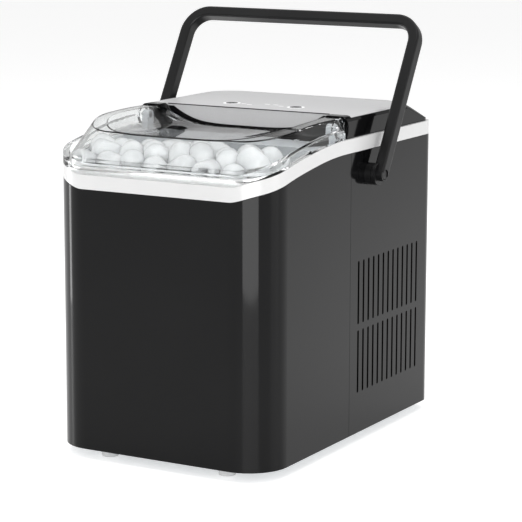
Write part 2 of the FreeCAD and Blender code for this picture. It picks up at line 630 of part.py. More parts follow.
def top_cover():
    """Hollow rear cover with a dipped front, and the silver plate that caps it."""
    cover_y = HINGE_Y + COVER_FRONT
    ahead = box(-HALF, HALF, FRONT, cover_y, BAND_TOP - 2, COVER_TOP + 5)
    outside = cover_hull(0).cut([dip(0), barrel_space(), ahead, box(-HALF, HALF, FRONT, REAR, 0, BAND_TOP)])
    inner_y = HINGE_Y + BARREL_RADIUS + BARREL_GAP + WALL
    inner_ahead = box(-HALF, HALF, FRONT, inner_y, BAND_TOP - 2, COVER_TOP)
    inner_above = box(-HALF, HALF, FRONT, REAR, COVER_TOP - PLATE_THICKNESS - WALL, COVER_TOP)
    inside = cover_hull(WALL).cut([dip(WALL), inner_ahead, inner_above])
    shell = outside.cut(inside)
    recess = control_plate_blank(FIT)
    parts["top_cover"] = shell.cut([recess] + button_holes(BUTTON_RADIUS + 2) + lens_holes(LENS_RADIUS + 0.5))
    plate = control_plate_blank(0)
    parts["control_plate"] = plate.cut(button_holes(BUTTON_RADIUS + FIT) + lens_holes(LENS_RADIUS))


def control_plate_blank(grow):
    """Silver plate: flat top that wraps over the long edges, folded down into an apron in the dip."""
    y0 = FRONT + APRON_TOP
    y1 = REAR - CHAMFER_START - 1 + grow
    low = COVER_TOP - PLATE_THICKNESS - grow
    top = cover_hull(-grow).common(box(-HALF, HALF, FRONT, y1, low, COVER_TOP + grow))
    top = top.common(behind_apron(y0 - grow))
    apron = behind_apron(y0 - grow).cut(behind_apron(y0 + APRON_THICKNESS + grow))
    apron = apron.common(box(-HALF, HALF, FRONT, REAR, TROUGH_Z, COVER_TOP - PLATE_THICKNESS / 2))
    apron = apron.common(above_trough(FRONT + APRON_FOOT - 5, y0 + 8, grow - APRON_HEM))
    return fuse([top, apron])


def button_places():
    """Centres of the two buttons."""
    y = FRONT + APRON_TOP + BUTTON_BACK
    return [(-BUTTON_SPACING / 2, y), (BUTTON_SPACING / 2, y)]


def button_holes(radius):
    """Round holes over the buttons."""
    return [rod(radius, (x, y, COVER_TOP - 12), (0, 0, 1), 14) for x, y in button_places()]


def lens_places():
    """Centres of the indicator lamps, between the buttons."""
    y = FRONT + APRON_TOP + BUTTON_BACK
    return [((index - (LENS_COUNT - 1) / 2) * LENS_SPACING, y) for index in range(LENS_COUNT)]


def lens_holes(radius):
    """Round holes over the lamps."""
    return [rod(radius, (x, y, COVER_TOP - 12), (0, 0, 1), 14) for x, y in lens_places()]


def controls():
    """Two sprung push buttons, the lamp lenses and the board under them."""
    board_top = COVER_TOP - BOARD_DROP
    for name, (x, y) in zip(("power_button", "size_button"), button_places()):
        cap = rod(BUTTON_RADIUS, (x, y, COVER_TOP - 4), (0, 0, 1), 4 + BUTTON_STAND)
        dish = Part.makeSphere(18.0, V(x, y, COVER_TOP + BUTTON_STAND - 0.35 + 18.0))
        stem = rod(1.8, (x, y, board_top + 1.5 + BUTTON_TRAVEL + 0.3), (0, 0, 1), 3)
        parts[name] = fuse([cap.cut(dish), stem])
    lenses = []
    switches = []
    for x, y in lens_places():
        lenses.append(rod(LENS_RADIUS - BORE_FIT, (x, y, COVER_TOP - 5), (0, 0, 1), 5))
    for x, y in button_places():
        switches.append(box(x - 3, x + 3, y - 3, y + 3, board_top, board_top + 1.5))
    parts["indicator_lenses"] = group(lenses)
    board = box(-62, 62, BOARD_Y, BOARD_Y + BOARD_DEPTH, board_top - BOARD_THICKNESS, board_top)
    chips = [box(-40, -26, BOARD_Y + 34, BOARD_Y + 48, board_top - 4, board_top),
             box(20, 44, BOARD_Y + 32, BOARD_Y + 44, board_top - 4.5, board_top)]
    parts["control_board"] = fuse([board] + chips + switches)


def handle():
    """U-shaped carrying handle on two pivot pins, leaning back at rest."""
    y = FRONT + PIVOT_BACK
    inner = HALF + BOSS_THICKNESS + FIT
    outer = inner + HANDLE_SECTION
    top = PIVOT_Z + HANDLE_REACH
    bend = HANDLE_BEND

    def loop(half, high, radius):
        middle = radius * (1 - math.sqrt(0.5))
        right = [V(half, 0, high - radius), V(half - middle, 0, high - middle), V(half - radius, 0, high)]
        left = [V(-p.x, 0, p.z) for p in reversed(right)]
        return right, left

    right, left = loop(outer, top, bend)
    inner_right, inner_left = loop(inner, top - HANDLE_SECTION, bend - HANDLE_SECTION)
    foot = PIVOT_Z
    edges = [Part.makeLine(V(outer, 0, foot), right[0]), Part.Arc(*right).toShape(),
             Part.makeLine(right[2], left[0]), Part.Arc(*left).toShape(),
             Part.makeLine(left[2], V(-outer, 0, foot)), Part.makeLine(V(-outer, 0, foot), V(-inner, 0, foot)),
             Part.makeLine(V(-inner, 0, foot), inner_left[2]), Part.Arc(*reversed(inner_left)).toShape(),
             Part.makeLine(inner_left[0], inner_right[2]), Part.Arc(*reversed(inner_right)).toShape(),
             Part.makeLine(inner_right[0], V(inner, 0, foot)), Part.makeLine(V(inner, 0, foot), V(outer, 0, foot))]
    bow = Part.Face(Part.Wire(edges)).extrude(V(0, HANDLE_DEPTH, 0))
    bow.translate(V(0, y - HANDLE_DEPTH / 2, 0))
    soft = [e for e in bow.Edges if e.BoundBox.ZMax > foot + 1 and e.BoundBox.YLength < 0.1]
    bow = bow.makeFillet(HANDLE_SOFT, soft)
    ends = both_sides(rod(HANDLE_DEPTH / 2, (inner, y, PIVOT_Z), (1, 0, 0), HANDLE_SECTION - 1.0))
    hubs = both_sides(rod(HUB_RADIUS, (inner, y, PIVOT_Z), (1, 0, 0), HUB_THICKNESS))
    bore = rod(PIVOT_PIN_RADIUS + BORE_FIT, (-outer - 1, y, PIVOT_Z), (1, 0, 0), 2 * outer + 2)
    sink = outer - SINK_DEPTH
    sinks = both_sides(rod(PIVOT_HEAD_RADIUS + HEAD_FIT, (sink, y, PIVOT_Z), (1, 0, 0), SINK_DEPTH + 1))
    whole = fuse([bow] + ends + hubs).cut([bore] + sinks)
    whole.rotate(V(0, y, PIVOT_Z), V(1, 0, 0), -HANDLE_LEAN)
    parts["handle"] = whole
    boss = tube(HUB_RADIUS, PIVOT_PIN_RADIUS + FIT, (HALF, y, PIVOT_Z), (1, 0, 0), BOSS_THICKNESS)
    parts["pivot_bosses"] = group(both_sides(boss))
    inside = HALF - WALL - PIN_PAST_WALL
    head_x = sink + FIT
    shank = rod(PIVOT_PIN_RADIUS, (inside, y, PIVOT_Z), (1, 0, 0), head_x - inside)
    head = rod(PIVOT_HEAD_RADIUS, (head_x, y, PIVOT_Z), (1, 0, 0), PIVOT_HEAD)
    nut = tube(NUT_RADIUS, PIVOT_PIN_RADIUS, (inside + 1, y, PIVOT_Z), (1, 0, 0), NUT_HEIGHT)
    parts["pivot_pins"] = group(both_sides(shank.fuse(head)))
    parts["pivot_nuts"] = group(both_sides(nut))


def cooling():
    """Compressor, condenser and fan behind the vents, with their tubes."""
    comp_y = REAR - WALL - COMPRESSOR_REAR_GAP - COMPRESSOR_RADIUS
    floor = PAN_TOP + MOUNT_HEIGHT
    can = rod(COMPRESSOR_RADIUS, (COMPRESSOR_X, comp_y, floor), (0, 0, 1), COMPRESSOR_HEIGHT)
    rims = [e for e in can.Edges if e.Curve.TypeId == "Part::GeomCircle"]
    can = can.makeFillet(CAN_ROUND, rims)
    side = PLATE_SIDE / 2
    feet_plate = box(COMPRESSOR_X - side, COMPRESSOR_X + side, comp_y - side, comp_y + side, floor, floor + 3)
    corners = [(COMPRESSOR_X + sx * MOUNT_OUT, comp_y + sy * MOUNT_OUT) for sx in (-1, 1) for sy in (-1, 1)]
    holes = [rod(MOUNT_BORE + FIT, (x, y, floor - 1), (0, 0, 1), 6) for x, y in corners]
    parts["compressor"] = fuse([can, feet_plate]).cut(holes)
    mounts = [tube(MOUNT_RADIUS, MOUNT_BORE, (x, y, PAN_TOP), (0, 0, 1), MOUNT_HEIGHT) for x, y in corners]
    parts["compressor_mounts"] = group(mounts)
    parts["start_relay"] = box(COMPRESSOR_X - 14, COMPRESSOR_X + 14, comp_y - COMPRESSOR_RADIUS - 18,
                               comp_y - COMPRESSOR_RADIUS - FIT, floor + 40, floor + 78)
    x1 = HALF - WALL - CONDENSER_GAP
    x0 = x1 - CONDENSER_THICKNESS
    y_mid = FRONT + VENT_FIRST + (VENT_COUNT - 1) / 2 * VENT_PITCH
    y0 = y_mid - CONDENSER_DEPTH / 2
    z0 = PAN_TOP
    pitch = (CONDENSER_DEPTH - FIN_THICKNESS) / (FIN_COUNT - 1)
    tube_rows = [z0 + 14 + row * ROW_PITCH for row in range(TUBE_ROWS)]
    fins = []
    for index in range(FIN_COUNT):
        y = y0 + index * pitch
        fin = box(x0, x1, y, y + FIN_THICKNESS, z0 + 0.5, z0 + CONDENSER_HEIGHT)
        holes = [rod(TUBE_RADIUS, ((x0 + x1) / 2, y - 1, z), (0, 1, 0), 3) for z in tube_rows]
        fins.append(fin.cut(holes))
    parts["condenser_fins"] = group(fins)
    mid_x = (x0 + x1) / 2
    runs = []
    for row, z in enumerate(tube_rows):
        runs.append(rod(TUBE_RADIUS, (mid_x, y0 - 4, z), (0, 1, 0), CONDENSER_DEPTH + 8))
        if row:
            y = y0 - 4 if row % 2 else y0 + CONDENSER_DEPTH + 4
            runs.append(rod(TUBE_RADIUS, (mid_x, y, z - ROW_PITCH), (0, 0, 1), ROW_PITCH))
            runs.append(Part.makeSphere(TUBE_RADIUS, V(mid_x, y, z)))
            runs.append(Part.makeSphere(TUBE_RADIUS, V(mid_x, y, z - ROW_PITCH)))
    parts["condenser_tube"] = fuse(runs)
    shroud_x = x0 - 1 - SHROUD_THICKNESS
    centre_z = z0 + CONDENSER_HEIGHT / 2
    frame = box(shroud_x, shroud_x + SHROUD_THICKNESS, y0, y0 + CONDENSER_DEPTH, z0, z0 + CONDENSER_HEIGHT)
    mouth = rod(FAN_RADIUS + 3, (shroud_x - 1, y_mid, centre_z), (1, 0, 0), SHROUD_THICKNESS + 2)
    bars = [box(shroud_x - 3, shroud_x, y0, y0 + CONDENSER_DEPTH, centre_z - 4, centre_z + 4)]
    shaft_hole = rod(SHAFT_RADIUS + BORE_FIT, (shroud_x - 40, y_mid, centre_z), (1, 0, 0), 60)
    parts["fan_shroud"] = fuse([frame.cut(mouth)] + bars).cut(shaft_hole)
    motor = rod(17, (shroud_x - 25, y_mid, centre_z), (1, 0, 0), 22)
    parts["fan_motor"] = motor.cut(shaft_hole)
    hub = rod(12, (shroud_x + 1, y_mid, centre_z), (1, 0, 0), 12)
    blades = []
    for index in range(BLADE_COUNT):
        blade = box(shroud_x + 6, shroud_x + 7.6, -11, 11, 10, FAN_RADIUS)
        blade.rotate(V(shroud_x + 6.8, 0, 0), V(0, 0, 1), BLADE_PITCH)
        blade.translate(V(0, y_mid, centre_z))
        blade.rotate(V(0, y_mid, centre_z), V(1, 0, 0), index * 360 / BLADE_COUNT)
        blades.append(blade)
    shaft = rod(SHAFT_RADIUS, (shroud_x - 20, y_mid, centre_z), (1, 0, 0), 22)
    parts["fan"] = fuse([hub, shaft] + blades)
    drier_y = REAR - WALL - 16
    drier_x = COMPRESSOR_X + DRIER_BESIDE
    drier_z = floor + 30
    drier = rod(DRIER_RADIUS, (drier_x, drier_y, drier_z), (0, 0, 1), DRIER_LENGTH)
    necks = [Part.makeCone(DRIER_RADIUS, TUBE_RADIUS, 8, V(drier_x, drier_y, drier_z + DRIER_LENGTH)),
             Part.makeCone(TUBE_RADIUS, DRIER_RADIUS, 8, V(drier_x, drier_y, drier_z - 8))]
    parts["filter_drier"] = fuse([drier] + necks)
    top = floor + COMPRESSOR_HEIGHT
    hot = [V(COMPRESSOR_X, comp_y, top), V(COMPRESSOR_X, comp_y, top + 30), V(drier_x, drier_y - 20, top + 30),
           V(drier_x, drier_y - 20, top - 20)]
    parts["discharge_tube"] = bent_tube(hot, 2.5, 12.0)
    valve = box(drier_x - 12, drier_x + 12, drier_y - 32, drier_y - 10, top - 48, top - 20 - FIT)
    parts["hot_gas_valve"] = valve
    board_y = LINER_REAR + FIT + JACKET + 3
    parts["power_board"] = fuse([
        box(-92, 30, board_y, board_y + 1.6, 178, 250),
        box(-80, -50, board_y, board_y + 22, 190, 214),
        box(-30, -12, board_y, board_y + 18, 196, 226),
    ])
    neck = rod(GLAND_RADIUS, (GLAND_X, REAR - WALL - 6, GLAND_Z), (0, 1, 0), 6 + WALL - 0.5)
    collar = rod(GLAND_RADIUS + 3, (GLAND_X, REAR - WALL - 3, GLAND_Z), (0, 1, 0), 3 - FIT)
    bore = rod(3.5, (GLAND_X, REAR - 20, GLAND_Z), (0, 1, 0), 30)
    parts["cord_gland"] = fuse([neck, collar]).cut(bore)


shells()
base()
upper_frame()
ice_bin()
ice_basket()
lid()
evaporator_hood()
ice_making()
water_circuit()
top_cover()
controls()
handle()
cooling()

os.makedirs("parts", exist_ok=True)
for name, shape in parts.items():
    shape.exportStep("parts/" + name + ".step")
    print(name, len(shape.Solids), shape.isValid(), round(shape.Volume / 1000, 2), "cm3")
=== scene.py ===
# %% [markdown]
# # A countertop ice maker, dressed for the camera
# The engineering model arrives as a fixed frame: every plastic shell, tube and screw already has its
# shape and place. This lesson gives each of them a real finish, adds the small things a drawing leaves
# out, such as the ice in the basket and the printed marks by the keys, and lights it like a product shot.

# %% Load the frame
import math
import random

import bmesh
import bpy
from mathutils import Matrix, Vector
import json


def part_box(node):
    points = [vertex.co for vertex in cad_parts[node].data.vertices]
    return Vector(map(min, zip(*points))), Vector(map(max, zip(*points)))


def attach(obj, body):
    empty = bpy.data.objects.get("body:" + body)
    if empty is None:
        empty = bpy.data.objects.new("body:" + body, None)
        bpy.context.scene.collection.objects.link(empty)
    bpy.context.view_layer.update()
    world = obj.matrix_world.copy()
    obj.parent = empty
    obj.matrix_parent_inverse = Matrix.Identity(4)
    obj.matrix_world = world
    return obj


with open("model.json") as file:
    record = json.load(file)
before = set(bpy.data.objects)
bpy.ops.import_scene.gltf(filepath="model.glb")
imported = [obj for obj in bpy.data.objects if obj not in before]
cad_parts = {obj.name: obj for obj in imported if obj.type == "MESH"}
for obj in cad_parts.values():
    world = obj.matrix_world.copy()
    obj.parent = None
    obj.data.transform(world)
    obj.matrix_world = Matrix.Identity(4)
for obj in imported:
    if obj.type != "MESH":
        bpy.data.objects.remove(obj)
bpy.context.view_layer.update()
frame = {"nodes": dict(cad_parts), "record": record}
nodes = frame["nodes"]

# %% [markdown]
# ## The camera
# A long lens a couple of metres away keeps upright edges nearly parallel, as product photographers like.
# The camera is placed by its turn about the machine and its tilt, then pushed back along its own axis.
# A matrix built from those angles is exact, where aiming with a constraint would need an extra object.

# %% Camera
TURN = math.radians(29.652)
TILT = math.radians(10.620)
ROLL = math.radians(0.114)
LENS_MM = 151.1
CAMERA_PLACE = Vector((0.9975, -1.7295, 0.5344))

camera_data = bpy.data.cameras.new("camera")
camera_data.lens = LENS_MM
camera = bpy.data.objects.new("camera", camera_data)
bpy.context.scene.collection.objects.link(camera)
aim = (Matrix.Rotation(TURN, 4, "Z") @ Matrix.Rotation(math.pi / 2 - TILT, 4, "X")
       @ Matrix.Rotation(ROLL, 4, "Z"))
camera.matrix_world = Matrix.Translation(CAMERA_PLACE) @ aim
bpy.context.scene.camera = camera
bpy.context.scene.view_settings.view_transform = "Standard"
print("camera at", [round(v, 3) for v in CAMERA_PLACE], "lens", LENS_MM)

# %% [markdown]
# ## Two helpers for materials
# Colours are written as the hex values a designer would pick on a screen, so one function turns them
# into the linear light that the shaders count in. The other adds one shader node with its settings,
# its socket values and its links, which keeps each finish below to a few readable lines.

# %% Colour and node helpers
def linear(hex_text, alpha=1.0):
    """Linear colour of an sRGB hex value."""
    channels = []
    for start in (1, 3, 5):
        value = int(hex_text[start:start + 2], 16) / 255
        channels.append(value / 12.92 if value <= 0.04045 else ((value + 0.055) / 1.055) ** 2.4)
    return (*channels, alpha)


def add_node(tree, kind, values=None, links=None, **settings):
    """One shader node, with its properties, its socket values and what feeds it."""
    made = tree.nodes.new(kind)
    for name, value in settings.items():
        setattr(made, name, value)
    for name, value in (values or {}).items():
        made.inputs[name].default_value = value
    for name, socket in (links or {}).items():
        tree.links.new(socket, made.inputs[name])
    return made


def new_finish(name, **values):
    """A material with one shader, its sockets set. Gives the material, tree, shader and Object place."""
    material = bpy.data.materials.new(name)
    material.use_nodes = True
    tree = material.node_tree
    tree.nodes.clear()
    shader = add_node(tree, "ShaderNodeBsdfPrincipled")
    for socket, value in values.items():
        shader.inputs[socket.replace("_", " ")].default_value = value
    add_node(tree, "ShaderNodeOutputMaterial", links={"Surface": shader.outputs["BSDF"]})
    place = add_node(tree, "ShaderNodeTexCoord").outputs["Object"]
    return material, tree, shader, place


def per_mm(size):
    """Noise scale that gives features of this size in millimetres."""
    return 1000.0 / size


print("helpers ready")

# %% [markdown]
# ## Moulded plastics
# The cabinet is high-gloss ABS: near-black, with the very slight ripple ("orange peel") that cooling
# leaves, and a faint change of gloss where hands have wiped it. The ripple could be a displaced mesh, but
# it is hundredths of a millimetre deep, so a bump from a broad noise is the right tool. ABS has an IOR near
# 1.53. The black shell and the handle are set lower, so that their faces mirror less of the white studio.

# %% Gloss and satin plastics
WIPE_MM = 90            # size of the patches where hands have wiped the gloss
RIPPLE_STRENGTH = 0.35


def moulded_plastic(name, colour, second, roughness, ripple_mm, ripple_depth, wipe=0.05, ior=1.53):
    """Injection-moulded plastic: two near tones, a gentle ripple and uneven gloss."""
    material, tree, shader, place = new_finish(name, IOR=ior)
    cloud = add_node(tree, "ShaderNodeTexNoise", {"Scale": per_mm(WIPE_MM), "Detail": 3.0}, {"Vector": place})
    tone = add_node(tree, "ShaderNodeValToRGB", links={"Fac": cloud.outputs["Fac"]})
    tone.color_ramp.elements[0].position = 0.35
    tone.color_ramp.elements[0].color = linear(colour)
    tone.color_ramp.elements[1].position = 0.7
    tone.color_ramp.elements[1].color = linear(second)
    tree.links.new(tone.outputs["Color"], shader.inputs["Base Color"])
    gloss = add_node(tree, "ShaderNodeMapRange", {"To Min": roughness - wipe / 2, "To Max": roughness + wipe},
                     {"Value": cloud.outputs["Fac"]})
    tree.links.new(gloss.outputs["Result"], shader.inputs["Roughness"])
    ripple = add_node(tree, "ShaderNodeTexNoise", {"Scale": per_mm(ripple_mm), "Detail": 2.0},
                      {"Vector": place})
    bump = add_node(tree, "ShaderNodeBump", {"Strength": RIPPLE_STRENGTH, "Distance": ripple_depth},
                    {"Height": ripple.outputs["Fac"]})
    tree.links.new(bump.outputs["Normal"], shader.inputs["Normal"])
    return material


gloss_black_abs = moulded_plastic("gloss_black_abs", "#080809", "#0b0b0c", 0.07, 14, 0.00003,
                                  ior=1.25)
gloss_white_abs = moulded_plastic("gloss_white_abs", "#cfcfcf", "#d5d5d5", 0.24, 12, 0.00002)
satin_black_nylon = moulded_plastic("satin_black_nylon", "#0b0b0c", "#101011", 0.32, 1.2, 0.00002, 0.08,
                                    ior=1.32)
white_polypropylene = moulded_plastic("white_polypropylene", "#e9ecee", "#f2f4f5", 0.38, 2.5, 0.00003)
grey_housing_abs = moulded_plastic("grey_housing_abs", "#b9bdc1", "#c6c9cc", 0.40, 1.5, 0.00003)
black_housing_abs = moulded_plastic("black_housing_abs", "#151516", "#1c1c1d", 0.48, 1.0, 0.00004)
key_plastic = moulded_plastic("key_plastic", "#2b2c2f", "#33353a", 0.22, 3.0, 0.00002)
lamp_diffuser = moulded_plastic("lamp_diffuser", "#dfe8f0", "#f4f8fb", 0.15, 2.0, 0.00001)
basket_polypropylene = moulded_plastic("basket_polypropylene", "#dde1e4", "#e8ebed", 0.35, 2.0, 0.00003)
print("plastics:", len(bpy.data.materials))

# %% [markdown]
# ## Clear lid
# The lid is moulded from clear acrylic, whose IOR is 1.49. At that value its wall looked thicker than the real
# one, so 1.28 is used with full transmission. A breath of broad ripple keeps the highlights from looking like
# glass.

# %% Clear acrylic
def clear_acrylic():
    """Clear moulded acrylic with a faint cool tint."""
    material, tree, shader, place = new_finish("clear_acrylic", IOR=1.28, Roughness=0.02,
                                               Transmission_Weight=1.0, Base_Color=linear("#fcfdfd"))
    flow = add_node(tree, "ShaderNodeTexNoise", {"Scale": per_mm(35), "Detail": 1.0}, {"Vector": place})
    bump = add_node(tree, "ShaderNodeBump", {"Strength": 0.1, "Distance": 0.00002},
                    {"Height": flow.outputs["Fac"]})
    tree.links.new(bump.outputs["Normal"], shader.inputs["Normal"])
    return material


clear_lid_acrylic = clear_acrylic()

# %% [markdown]
# ## Silver control plate
# It is plastic sprayed with silver lacquer: fine metal flakes under a satin clear coat. Flakes a tenth of a
# millimetre wide would vanish at this distance, so the voronoi cells are drawn 0.6 mm wide and kept faint.

# %% Silver lacquer
FLAKE_MM = 0.6


def silver_lacquer():
    """Sprayed silver: flakes that vary in tone, under a satin coat."""
    material, tree, shader, place = new_finish("silver_lacquer", Metallic=0.2, Roughness=0.42,
                                               Coat_Weight=0.25)
    shader.inputs["Coat Roughness"].default_value = 0.2
    flakes = add_node(tree, "ShaderNodeTexVoronoi", {"Scale": per_mm(FLAKE_MM)}, {"Vector": place})
    tone = add_node(tree, "ShaderNodeValToRGB", links={"Fac": flakes.outputs["Distance"]})
    tone.color_ramp.elements[0].color = linear("#c2c2c3")
    tone.color_ramp.elements[1].color = linear("#cdcdce")
    tree.links.new(tone.outputs["Color"], shader.inputs["Base Color"])
    bump = add_node(tree, "ShaderNodeBump", {"Strength": 0.1, "Distance": 0.00002},
                    {"Height": flakes.outputs["Distance"]})
    tree.links.new(bump.outputs["Normal"], shader.inputs["Normal"])
    return material


silver_plate_lacquer = silver_lacquer()

# %% [markdown]
# ## Rubbers, metals and foam
# These are the pieces that show when the lid is up, through the vents, or from below. Rubber is rough and
# slightly speckled; metals keep the shader's default IOR and get their grain from stretched or broad noise.

# %% Rubber, metal, foam and board finishes
def moulded_rubber(name, colour, second):
    """Moulded rubber with a fine dusty speckle."""
    material, tree, shader, place = new_finish(name, Roughness=0.7, IOR=1.52)
    speck = add_node(tree, "ShaderNodeTexNoise", {"Scale": per_mm(0.8), "Detail": 4.0}, {"Vector": place})
    tone = add_node(tree, "ShaderNodeValToRGB", links={"Fac": speck.outputs["Fac"]})
    tone.color_ramp.elements[0].color = linear(colour)
    tone.color_ramp.elements[1].color = linear(second)
    tree.links.new(tone.outputs["Color"], shader.inputs["Base Color"])
    bump = add_node(tree, "ShaderNodeBump", {"Strength": 0.3, "Distance": 0.00005},
                    {"Height": speck.outputs["Fac"]})
    tree.links.new(bump.outputs["Normal"], shader.inputs["Normal"])
    return material


def bare_metal(name, colour, second, roughness, grain_mm, stretch=(1.0, 1.0, 1.0)):
    """Metal whose tone and gloss vary along its grain."""
    material, tree, shader, place = new_finish(name, Metallic=1.0)
    turned = add_node(tree, "ShaderNodeMapping", {"Scale": stretch}, {"Vector": place})
    grain = add_node(tree, "ShaderNodeTexNoise", {"Scale": per_mm(grain_mm), "Detail": 3.0},
                     {"Vector": turned.outputs["Vector"]})
    tone = add_node(tree, "ShaderNodeValToRGB", links={"Fac": grain.outputs["Fac"]})
    tone.color_ramp.elements[0].position = 0.3
    tone.color_ramp.elements[0].color = linear(colour)
    tone.color_ramp.elements[1].position = 0.75
    tone.color_ramp.elements[1].color = linear(second)
    tree.links.new(tone.outputs["Color"], shader.inputs["Base Color"])
    gloss = add_node(tree, "ShaderNodeMapRange", {"To Min": roughness * 0.8, "To Max": roughness * 1.3},
                     {"Value": grain.outputs["Fac"]})
    tree.links.new(gloss.outputs["Result"], shader.inputs["Roughness"])
    return material


def rough_solid(name, colour, second, size_mm, roughness, depth):
    """A rough, slightly cellular solid such as foam, enamel or a printed board."""
    material, tree, shader, place = new_finish(name, Roughness=roughness)
    cells = add_node(tree, "ShaderNodeTexVoronoi", {"Scale": per_mm(size_mm)}, {"Vector": place})
    tone = add_node(tree, "ShaderNodeValToRGB", links={"Fac": cells.outputs["Distance"]})
    tone.color_ramp.elements[0].color = linear(colour)
    tone.color_ramp.elements[1].color = linear(second)
    tree.links.new(tone.outputs["Color"], shader.inputs["Base Color"])
    bump = add_node(tree, "ShaderNodeBump", {"Strength": 0.4, "Distance": depth},
                    {"Height": cells.outputs["Distance"]})
    tree.links.new(bump.outputs["Normal"], shader.inputs["Normal"])
    return material


pale_rubber = moulded_rubber("pale_rubber", "#cfcfcf", "#e0e0e0")
black_rubber = moulded_rubber("black_rubber", "#141414", "#202020")
galvanised_sheet = bare_metal("galvanised_sheet", "#a9adb0", "#c4c8ca", 0.38, 9)
turned_steel = bare_metal("turned_steel", "#b4b5b7", "#d0d1d3", 0.28, 0.5, (1.0, 6.0, 6.0))
drawn_copper = bare_metal("drawn_copper", "#b36a48", "#cf8a63", 0.25, 6)
rolled_aluminium = bare_metal("rolled_aluminium", "#c3c6c9", "#dadcde", 0.30, 1.5, (1.0, 1.0, 8.0))
nickel_plate = bare_metal("nickel_plate", "#bdbab2", "#d6d3cb", 0.18, 4)
black_enamel = rough_solid("black_enamel", "#0f0f10", "#161617", 2.0, 0.3, 0.00003)
foam_beads = rough_solid("foam_beads", "#dddcd6", "#f0efe9", 4.0, 0.85, 0.0004)
solder_mask = rough_solid("solder_mask", "#0d3a1c", "#14502a", 1.5, 0.4, 0.00004)
print("finishes:", [m.name for m in bpy.data.materials])

# %% [markdown]
# ## Dress the frame
# Every node of the frame keeps its mesh and takes one of these finishes. The record already groups the
# nodes by the stuff they are made of, so a table from that group to a finish reaches all of them.

# %% Finishes onto the frame's nodes
FINISHES = {
    "black_shell": gloss_black_abs, "white_frame": gloss_white_abs, "white_liner": white_polypropylene,
    "clear_lid": clear_lid_acrylic, "silver_panel": silver_plate_lacquer, "black_handle": satin_black_nylon,
    "grey_rubber": pale_rubber, "black_rubber": black_rubber, "zinc_sheet": galvanised_sheet,
    "compressor_paint": black_enamel, "copper_tube": drawn_copper, "fin_aluminium": rolled_aluminium,
    "nickel_plate": nickel_plate, "grey_plastic": grey_housing_abs, "black_plastic": black_housing_abs,
    "foam": foam_beads, "board_green": solder_mask, "steel_pin": turned_steel, "lamp_lens": lamp_diffuser,
    "button_dark": key_plastic, "basket_plastic": basket_polypropylene,
}
for subpart in frame["record"]["subparts"]:
    mesh = nodes[subpart["node"]].data
    mesh.materials.clear()
    mesh.materials.append(FINISHES[subpart["material_slot"]])

# %% [markdown]
# ## Ice
# Each piece freezes round a chilled finger, so it is a bullet with a hollow down its middle. One bullet is
# spun from a profile; copies are then tumbled into the basket in loose layers. A rigid-body simulation
# could pile them too, but seeded jitter on a grid looks as loose and never changes from run to run.

# %% One bullet of ice
ICE_RADIUS = 0.0115
ICE_LENGTH = 0.029
HOLLOW_RADIUS = 0.0048
HOLLOW_DEPTH = 0.019
ICE_SIDES = 18


def bullet_profile():
    """Half section of a bullet, from the dome's tip to the bottom of its hollow."""
    points = []
    for step in range(6):
        turn = math.radians(90 - step * 18)
        points.append((ICE_RADIUS * math.cos(turn), ICE_LENGTH - ICE_RADIUS + ICE_RADIUS * math.sin(turn)))
    points += [(ICE_RADIUS * 1.02, 0.006), (ICE_RADIUS * 0.97, 0.0012), (ICE_RADIUS * 0.86, 0.0)]
    points += [(HOLLOW_RADIUS * 1.25, 0.0004), (HOLLOW_RADIUS, 0.002)]
    points += [(HOLLOW_RADIUS * 0.9, HOLLOW_DEPTH - 0.003), (HOLLOW_RADIUS * 0.5, HOLLOW_DEPTH - 0.0006)]
    points.append((0.0, HOLLOW_DEPTH))
    return points


def bullet_mesh():
    """A bullet of ice, spun about Z and closed at both poles."""
    shape = bmesh.new()
    points = [shape.verts.new((max(r, 0.0), 0.0, z)) for r, z in bullet_profile()]
    points[0].co.x = 0.0
    edges = [shape.edges.new(pair) for pair in zip(points, points[1:])]
    bmesh.ops.spin(shape, geom=points + edges, axis=(0, 0, 1), cent=(0, 0, 0), angle=math.tau,
                   steps=ICE_SIDES, use_merge=True)
    bmesh.ops.remove_doubles(shape, verts=shape.verts, dist=0.00001)
    bmesh.ops.recalc_face_normals(shape, faces=shape.faces)
    bmesh.ops.translate(shape, verts=shape.verts, vec=(0, 0, -ICE_LENGTH / 2))
    mesh = bpy.data.meshes.new("bullet")
    shape.to_mesh(mesh)
    shape.free()
    return mesh


bullet = bullet_mesh()
print("one bullet:", len(bullet.polygons), "faces")

# %% [markdown]
# The heap follows the space that the frame leaves: inside the basket, then crowned up under the lid.

# %% Heap of ice in the basket
ICE_PITCH = 0.0245
ICE_LAYER = 0.0205
ICE_ROW = 0.0148
ICE_LAYERS = 6
ICE_ABOVE_RIM = 3       # layers counted from the top that may spread over the basket's rim
SIDE_INSET = 0.019      # basket's side to the outermost bullets
SPREAD_INSET = 0.0135
FRONT_INSET = 0.016
ROW_STAGGER = 0.003     # every other layer lies this much further back
EDGE_DROP = 0.003       # the crown falls towards its sides
SIDE_JITTER = 0.004
LYING_SHARE = 0.72      # the others stand nearly upright
ICE_TOPS = (0.2765, 0.2845, 0.2848, 0.2840)     # rows from front to rear, close under the lid

basket_low, basket_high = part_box("ice_basket")
rng = random.Random(11)


